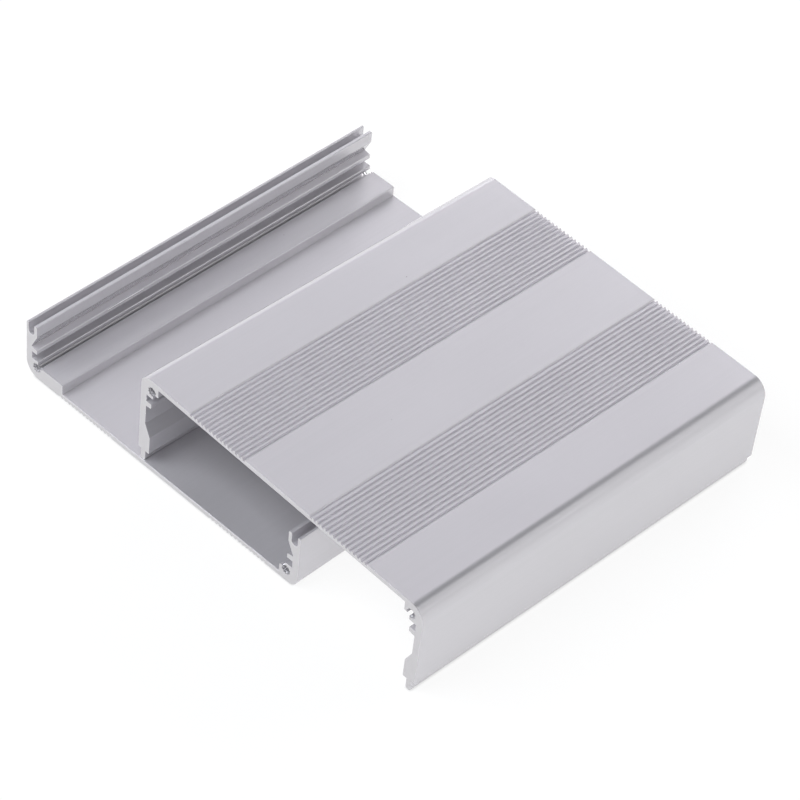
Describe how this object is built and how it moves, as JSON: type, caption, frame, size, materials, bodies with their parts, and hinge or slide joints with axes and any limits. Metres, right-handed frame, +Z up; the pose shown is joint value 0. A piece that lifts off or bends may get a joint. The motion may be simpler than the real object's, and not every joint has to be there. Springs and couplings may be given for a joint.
{
  "type": "aluminium project box",
  "caption": "Extruded aluminium project box shown open: a shallow lower shell with grooved walls, and a deep cover with tongued walls and ribbed bands, set down askew over it.",
  "frame": {"origin": "middle of the lower shell's underside, where it stands on the table", "axes": "+Y along the extrusions, +Z up, +X from the lower shell's ledge towards the cover"},
  "size_m": [0.1281, 0.1072, 0.0267],
  "materials": {
    "satin_aluminium": "satin anodised, sawn ends"
  },
  "bodies": {
    "root": {"lower_shell": "satin_aluminium", "upper_shell": "satin_aluminium"}
  },
  "joints": []
}
